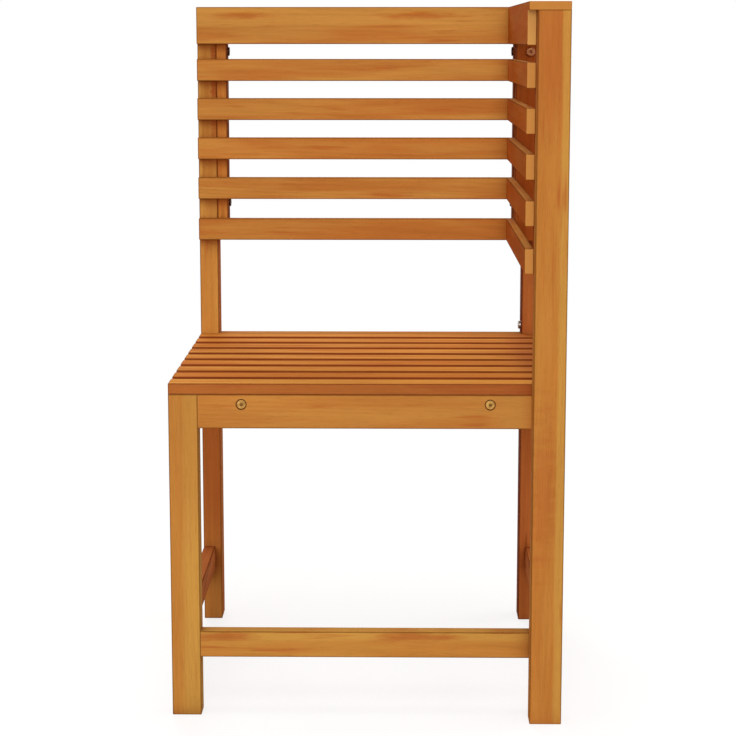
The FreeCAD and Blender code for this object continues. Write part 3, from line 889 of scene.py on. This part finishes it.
class Joiner:
    """Gives each board a material of its own, cut from its own place in the tree."""

    def __init__(self) -> None:
        """Starts with no board dressed."""
        self.cuts: dict[str, tuple[int, Vector]] = {}

    def dress(self, board: Board) -> None:
        """Dresses one board.

        Args:
            board: The board to dress.
        """
        low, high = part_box(board.node)
        new_cut = (len(self.cuts) + 1, (low + high) / 2)
        self.cuts[board.node] = self.cuts[board.sawn_with] if board.sawn_with else new_cut
        if board.flush_with:
            other_low, other_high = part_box(board.flush_with)
            low = Vector(map(min, low, other_low))
            high = Vector(map(max, high, other_high))
        finish = BoardFinish(board, *self.cuts[board.node])
        cover(board.node, finish.build((low + high) / 2, (high - low) / 2), f"{board.timber.name} timber")


@dataclass(frozen=True)
class PlatedMetal:
    """Plated steel of one colour."""

    name: str
    bright: Colour
    dull: Colour
    hollow_shade: Colour
    smooth: float
    rough: float
    recess: float = 0.003
    relief: float = 0.12
    relief_depth: float = 0.0001

    def material(self) -> bpy.types.Material:
        """Makes the metal's material.

        Returns:
            The material.
        """
        material, w, shader = start_material(self.name)
        place = w.add("ShaderNodeTexCoord")
        openness = w.add("ShaderNodeAmbientOcclusion", only_local=True, samples=8)
        w.feed(openness.inputs["Distance"], self.recess)
        looks = w.place_group(plating(), Place=place.outputs["Object"], Bright=self.bright, Dull=self.dull,
                              Grime=self.hollow_shade, Open=openness.outputs["AO"], Smooth=self.smooth,
                              Rough=self.rough).outputs
        w.feed(shader.inputs["Base Color"], looks["Color"])
        w.feed(shader.inputs["Roughness"], looks["Roughness"])
        w.feed(shader.inputs["Metallic"], 1.0)
        add_relief(w, shader, looks["Height"], self.relief, self.relief_depth)
        return material


YELLOW_ZINC = PlatedMetal(
    name="yellow_zinc",
    bright=paint(164, 124, 67),
    dull=paint(132, 96, 48),
    hollow_shade=paint(104, 72, 32),
    smooth=0.45,
    rough=0.65,
)
COPPERED_ZINC = PlatedMetal(
    name="coppered_zinc",
    bright=paint(174, 112, 74),
    dull=paint(142, 88, 54),
    hollow_shade=paint(96, 48, 20),
    smooth=0.34,
    rough=0.55,
)
# Painted shade: the back panel's bolts, which sit in shade behind the slats, are made dark
SHADE_DARK_METAL = PlatedMetal(
    name="shade_dark_metal",
    bright=paint(72, 40, 22),
    dull=paint(48, 24, 12),
    hollow_shade=paint(24, 12, 6),
    smooth=0.35,
    rough=0.55,
)
GREY_ZINC = PlatedMetal(
    name="grey_zinc",
    bright=paint(186, 180, 172),
    dull=paint(146, 138, 130),
    hollow_shade=paint(48, 44, 40),
    smooth=0.30,
    rough=0.52,
)


@dataclass
class SeatFrame:
    """Legs, posts, rails and stretchers."""

    post_band_start: float = 0.2345
    leg_band_start: float = -0.2335
    apron_lit_start: float = 0.150
    apron_lit_softness: float = 0.05
    stretcher_band_start: float = 0.0945
    post_red_start: float = 0.70
    post_red_softness: float = 0.12
    band_softness: float = 0.004
    soft_band_softness: float = 0.009
    leg_red_start: float = 0.20
    leg_red_softness: float = 0.12
    shade_start: float = 0.40
    shade_softness: float = 0.06
    lit_foot_start: float = 0.20
    lit_foot_softness: float = 0.15
    broad_streaks: tuple[tuple[float, float], ...] = ((-0.190, 0.075), (0.062, 0.068))
    broad_drop: float = 0.0065
    broad_half_height: float = 0.008
    thin_streaks: tuple[tuple[float, float], ...] = ((-0.085, 0.050), (0.168, 0.040))
    thin_drop: float = 0.001
    thin_half_height: float = 0.0014
    patch_place: tuple[float, float] = (0.220, 0.305)
    patch_reach: tuple[float, float] = (0.022, 0.14)
    post_stripe_place: tuple[float, float] = (-0.2242, 0.80)
    post_stripe_reach: tuple[float, float] = (0.006, 0.13)

    def boards(self) -> list[Board]:
        """Lists the frame's boards.

        Returns:
            The boards, the ones at the front with their own marks.
        """
        post_band = Band(TO_SIDE, self.post_band_start, self.band_softness, strength=0.8, wander=0.006)
        leg_band = Band(TO_SIDE, self.leg_band_start, self.soft_band_softness, wander=0.008)
        stretcher_band = Band(UPWARD, self.stretcher_band_start, self.soft_band_softness, wander=0.004)
        # Painted light: the apron is paler towards its right end, against the shade beside the front right
        # post
        apron_lit_band = Band(TO_SIDE, self.apron_lit_start, self.apron_lit_softness, strength=0.8)
        post_red = Band(UPWARD, self.post_red_start, self.post_red_softness, strength=0.5)
        leg_red = Band(UPWARD, self.leg_red_start, self.leg_red_softness, strength=0.2)
        # Painted shade: the rear left post's front is redder and darker below the seat, in the seat's
        # shadow
        shade = Band(DOWNWARD, -self.shade_start, self.shade_softness, strength=0.85, faces=TO_FRONT)
        # Painted light: the rear left post's front is paler near the floor, taking back some of that
        # painted shade
        lit_foot = Band(DOWNWARD, -self.lit_foot_start, self.lit_foot_softness, strength=0.5, faces=TO_FRONT)
        post_patch = self.upright_streak("front_right_post", self.patch_place, self.patch_reach,
                                         strength=0.4)
        # A dark red stripe down the right of the rear left post's front, beside the batten, at the height
        # of the back
        post_stripe = self.upright_streak("rear_left_post", self.post_stripe_place,
                                          self.post_stripe_reach, strength=0.9)
        listed = [
            Board("front_right_post", Grain.UPRIGHT, SOFT_SHADE_GOLDEN, depth=0.62, contrast=0.45,
                  pale_or_lit_band=post_band, red_or_shade_band=post_red, pale_wins=True, streaks=(post_patch,)),
            Board("front_left_leg", Grain.UPRIGHT, GOLDEN, depth=0.28, contrast=0.5, pale_or_lit_band=leg_band,
                  red_or_shade_band=leg_red),
            Board("front_right_leg", Grain.UPRIGHT, AMBER),
            Board("rear_left_post", Grain.UPRIGHT, SHADOWED, contrast=0.7, pale_or_lit_band=lit_foot,
                  red_or_shade_band=shade, painted_shade_faces=TO_SIDE, streaks=(post_stripe,), pale_wins=True,
                  has_painted_shadow=True),
            Board("rear_right_post", Grain.UPRIGHT, SHADED, painted_shade_faces=FROM_SIDE, has_painted_shadow=True),
            Board("front_apron", Grain.ACROSS, SOFT_SHADE_AMBER, depth=0.3, contrast=0.5, pale_or_lit_band=apron_lit_band),
            Board("rear_rail", Grain.ACROSS, AMBER),
            Board("front_stretcher", Grain.ACROSS, GOLDEN, depth=0.34, contrast=0.45,
                  pale_or_lit_band=stretcher_band, streaks=self.stretcher_streaks()),
        ]
        for side in ("left", "right"):
            listed.append(Board(f"{side}_side_rail", Grain.DEEP, AMBER))
            listed.append(Board(f"{side}_seat_support", Grain.DEEP, GOLDEN))
            listed.append(Board(f"{side}_side_stretcher", Grain.DEEP, SHADED))
        return listed

    def stretcher_streaks(self) -> tuple[Streak, ...]:
        """Lists the red streaks in the upper half of the front stretcher, and the thin ones on its edge.

        Returns:
            The streaks.
        """
        low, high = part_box("front_stretcher")
        broad = streak_row(self.broad_streaks, low.y, high.z - self.broad_drop, self.broad_half_height,
                           strength=0.7)
        thin = streak_row(self.thin_streaks, low.y, high.z - self.thin_drop, self.thin_half_height,
                          strength=0.6)
        return broad + thin

    def upright_streak(self, post: str, place: tuple[float, float], reach: tuple[float, float],
                       strength: float) -> Streak:
        """Makes one red streak on a post's front.

        Args:
            post: The post's name.
            place: The streak's middle, across the chair and up.
            reach: Its half width and half height.
            strength: How strong it is.

        Returns:
            The streak.
        """
        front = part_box(post)[0].y
        return Streak((place[0], front, place[1]), (reach[0], Streak.HALF_DEPTH, reach[1]), strength)

    def dress(self, joiner: Joiner) -> None:
        """Dresses the frame's boards."""
        for board in self.boards():
            joiner.dress(board)


@dataclass
class SlattedSeat:
    """The seat's slats, with how much darker than even each one is, from the front.

    From the third slat on, the end by the slatted side is redder.
    """

    depths: tuple[float, ...] = (-0.5, 0.45, -0.1, 0.3, 0.05, 0.1, 0.25, 0.1, 0.15)
    red_end_from: int = 3
    red_end_start: float = 0.172
    red_end_softness: float = 0.045

    def dress(self, joiner: Joiner) -> None:
        """Dresses the seat's slats, front to rear."""
        red_end = Band(TO_SIDE, self.red_end_start, self.red_end_softness, strength=0.5)
        for number, depth in enumerate(self.depths, 1):
            # Painted shade, a darker red, on the slats' fronts, which show in the gaps
            joiner.dress(Board(f"seat_slat_{number}", Grain.ACROSS, RUSSET, depth=depth,
                               red_or_shade_band=red_end if number >= self.red_end_from else None,
                               painted_shade_faces=TO_FRONT))


@dataclass
class SlattedPanel:
    """Slats, battens and cap of the back or of the side.

    The depths say how much darker than even each slat is, from the top down.
    """

    name: str
    grain: Grain
    timber: OiledTimber
    top_timber: OiledTimber
    battens: tuple[str, str]
    batten_timber: OiledTimber
    batten_shade_faces: tuple[Triple, Triple]
    depths: tuple[float, ...]
    painted_shade_faces: Triple | None = None
    top_band: Band | None = None
    top_streaks: tuple[Streak, ...] = ()

    def dress(self, joiner: Joiner) -> None:
        """Dresses the panel's slats from the top down, then its battens and its cap."""
        for number, depth in enumerate(self.depths, 1):
            is_top = number == 1
            joiner.dress(Board(f"{self.name}_slat_{number}", self.grain,
                               self.top_timber if is_top else self.timber, depth=depth,
                               pale_or_lit_band=self.top_band if is_top else None,
                               streaks=self.top_streaks if is_top else (), painted_shade_faces=self.painted_shade_faces,
                               flush_with=f"{self.name}_cap_rail" if is_top else None))
        for batten, faces in zip(self.battens, self.batten_shade_faces):
            joiner.dress(Board(batten, Grain.UPRIGHT, self.batten_timber, painted_shade_faces=faces,
                               has_painted_shadow=True))
        joiner.dress(Board(f"{self.name}_cap_rail", self.grain, CAPPING, depth=self.depths[0],
                           pale_or_lit_band=self.top_band, streaks=self.top_streaks, painted_shade_faces=self.painted_shade_faces,
                           sawn_with=f"{self.name}_slat_1", flush_with=f"{self.name}_slat_1"))


def back_panel() -> SlattedPanel:
    """Describes the back, whose top slat is golden above with red streaks along its upper edge.

    Returns:
        The panel.
    """
    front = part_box("back_slat_1")[0].y
    return SlattedPanel(
        name="back",
        grain=Grain.ACROSS,
        timber=AMBER,
        top_timber=AMBER,
        battens=("left_back_batten", "right_back_batten"),
        batten_timber=BROWNED,
        batten_shade_faces=(TO_SIDE, FROM_SIDE),
        depths=(0.05, 0.05, 0.2, 0.25, 0.0, 0.3),
        top_band=Band(UPWARD, start=0.870, softness=0.006),
        top_streaks=streak_row(((-0.178, 0.052), (0.072, 0.075)), front, height=0.888, half_height=0.0065,
                               strength=0.65),
    )


def side_panel() -> SlattedPanel:
    """Describes the side, whose slats are redder on their faces than at their ends: painted shade on the
    faces that look inwards.

    Returns:
        The panel.
    """
    return SlattedPanel(
        name="side",
        grain=Grain.DEEP,
        timber=REDDENED,
        top_timber=END_LIT,
        battens=("front_side_batten", "rear_side_batten"),
        batten_timber=SHADE_MAROON,
        batten_shade_faces=(TO_REAR, TO_REAR),
        depths=(0.3, 0.2, 0.3, 0.25, 0.35, 0.3),
        painted_shade_faces=FROM_SIDE,
    )


@dataclass
class Hardware:
    """Bolts, nuts, sleeves, screws and dowels."""

    yellow: tuple[str, ...] = ("apron_bolts", "rear_rail_bolts", "rear_post_bolts", "front_post_bolts",
                               "support_barrel_nuts", "rail_barrel_nuts", "threaded_inserts")
    coppered: tuple[str, ...] = ("side_panel_bolts",)
    # Painted shade: these bolts are dark because they sit in shade
    shade_dark: tuple[str, ...] = ("back_panel_bolts",)
    grey: tuple[str, ...] = ("link_bolt", "link_nut", "seat_slat_screws", "back_slat_screws",
                             "side_slat_screws")
    dowels: str = "cap_dowels"

    def dress(self, joiner: Joiner) -> None:
        """Dresses the metal pieces and the dowels."""
        for metal, nodes in ((YELLOW_ZINC, self.yellow), (COPPERED_ZINC, self.coppered),
                             (SHADE_DARK_METAL, self.shade_dark), (GREY_ZINC, self.grey)):
            material = metal.material()
            for node in nodes:
                cover(node, material, metal.name)
        joiner.dress(Board(self.dowels, Grain.UPRIGHT, PALE))


@dataclass(frozen=True)
class SoftLamp:
    """A large soft lamp, whose level is 1 where a facing surface shows its colour as written."""

    name: str
    place: Triple
    size: float
    level: float

    def hang(self, target: Vector) -> None:
        """Hangs the lamp.

        Args:
            target: The point that it faces.
        """
        way = target - Vector(self.place)
        light = bpy.data.lights.new(self.name, "AREA")
        light.shape = "DISK"
        light.size = self.size
        light.energy = self.level * math.pi ** 2 * way.length_squared
        lamp = bpy.data.objects.new(self.name, light)
        lamp.location = self.place
        lamp.rotation_euler = way.to_track_quat("-Z", "Y").to_euler()
        lamp.visible_camera = False
        bpy.context.scene.collection.objects.link(lamp)


@dataclass
class Studio:
    """White floor, white surroundings and soft lamps."""

    floor_radius: float = 14.0
    floor_sides: int = 96
    floor_bounce: float = 0.5
    floor_colour: float = 0.25
    floor_lift: float = 0.77
    shade_inner: float = 0.55
    shade_outer: float = 1.3
    ambient: float = 0.45
    ambient_colour: Colour = (1.0, 0.88, 0.80, 1.0)
    lamps: tuple[SoftLamp, ...] = (
        SoftLamp("key_lamp", (0.2, -6.6, 6.9), 3.2, 0.14),
        SoftLamp("front_lamp", (-0.9, -12.0, 2.3), 4.5, 0.42),
        SoftLamp("top_lamp", (0.0, -0.4, 6.6), 3.0, 0.35),
        SoftLamp("side_lamp", (4.5, 1.4, 2.6), 2.6, 0.2),
        SoftLamp("back_lamp", (-1.0, 4.5, 3.0), 2.6, 0.4),
    )

    def build(self) -> None:
        """Makes the floor, the surroundings and the lamps."""
        self.lay_floor()
        self.surround()
        low, high = CAD_BOX
        for lamp in self.lamps:
            lamp.hang((low + high) / 2)

    def lay_floor(self) -> None:
        """Lays a round white floor that keeps the chair's shadow."""
        ring = [math.tau * step / self.floor_sides for step in range(self.floor_sides)]
        points = [(math.cos(a) * self.floor_radius, math.sin(a) * self.floor_radius, 0.0) for a in ring]
        mesh = bpy.data.meshes.new("floor")
        mesh.from_pydata(points, [], [tuple(range(self.floor_sides))])
        floor = bpy.data.objects.new("floor", mesh)
        bpy.context.scene.collection.objects.link(floor)
        mesh.materials.append(self.floor_material())

    def floor_material(self) -> bpy.types.Material:
        """Makes the floor's material.

        Returns:
            The material, lit near the chair and plain white further out.
        """
        material = bpy.data.materials.new("white_floor")
        w = clear_tree(material)
        bounce = w.shade("ShaderNodeBsdfDiffuse", Color=grey(self.floor_bounce))
        lit = w.shade("ShaderNodeBsdfDiffuse", Color=grey(self.floor_colour))
        lift = w.shade("ShaderNodeEmission", Strength=self.floor_lift)
        white = w.shade("ShaderNodeEmission", Strength=1.0)
        near = w.add("ShaderNodeAddShader")
        w.feed(near.inputs[0], lit)
        w.feed(near.inputs[1], lift)
        place = w.add("ShaderNodeTexCoord").outputs["Object"]
        far = w.ease(w.vectors("LENGTH", place), self.shade_inner, self.shade_outer)
        seen = w.mix_shaders(far, near.outputs["Shader"], white)
        output = w.add("ShaderNodeOutputMaterial")
        w.feed(output.inputs["Surface"], w.mix_shaders(w.seen_plainly(), bounce, seen))
        return material

    def surround(self) -> None:
        """Makes the surroundings white to look at and softer as a light."""
        world = bpy.data.worlds.new("white_surroundings")
        w = clear_tree(world)
        white = w.shade("ShaderNodeBackground", Color=grey(1.0), Strength=1.0)
        fill = w.shade("ShaderNodeBackground", Color=self.ambient_colour, Strength=self.ambient)
        output = w.add("ShaderNodeOutputWorld")
        w.feed(output.inputs["Surface"], w.mix_shaders(w.seen_plainly(), fill, white))
        bpy.context.scene.world = world


@dataclass
class Viewpoint:
    """The camera, where the photograph was taken: in front of the chair, just below its caps."""

    place: Triple = (0.0374, -2.62, 0.8554)
    pitch_down: float = math.radians(8.701)
    turn_left: float = math.radians(0.821)
    lens: float = 95.8
    rise: float = -0.04

    def set_up(self) -> None:
        """Makes the camera and looks through it."""
        camera = bpy.data.cameras.new("camera")
        camera.lens = self.lens
        camera.shift_y = self.rise
        stand = bpy.data.objects.new("camera", camera)
        stand.location = self.place
        stand.rotation_euler = (math.pi / 2 - self.pitch_down, 0.0, self.turn_left)
        bpy.context.scene.collection.objects.link(stand)
        bpy.context.scene.camera = stand


def main() -> None:
    """Dresses the chair, piece by piece, and sets up the studio and the camera."""
    logging.basicConfig(level=logging.INFO, format="%(name)s: %(message)s")
    bpy.context.scene.view_settings.view_transform = "Standard"
    joiner = Joiner()
    SeatFrame().dress(joiner)
    SlattedSeat().dress(joiner)
    back_panel().dress(joiner)
    side_panel().dress(joiner)
    Hardware().dress(joiner)
    Studio().build()
    Viewpoint().set_up()


if __name__ == "__main__":
    main()
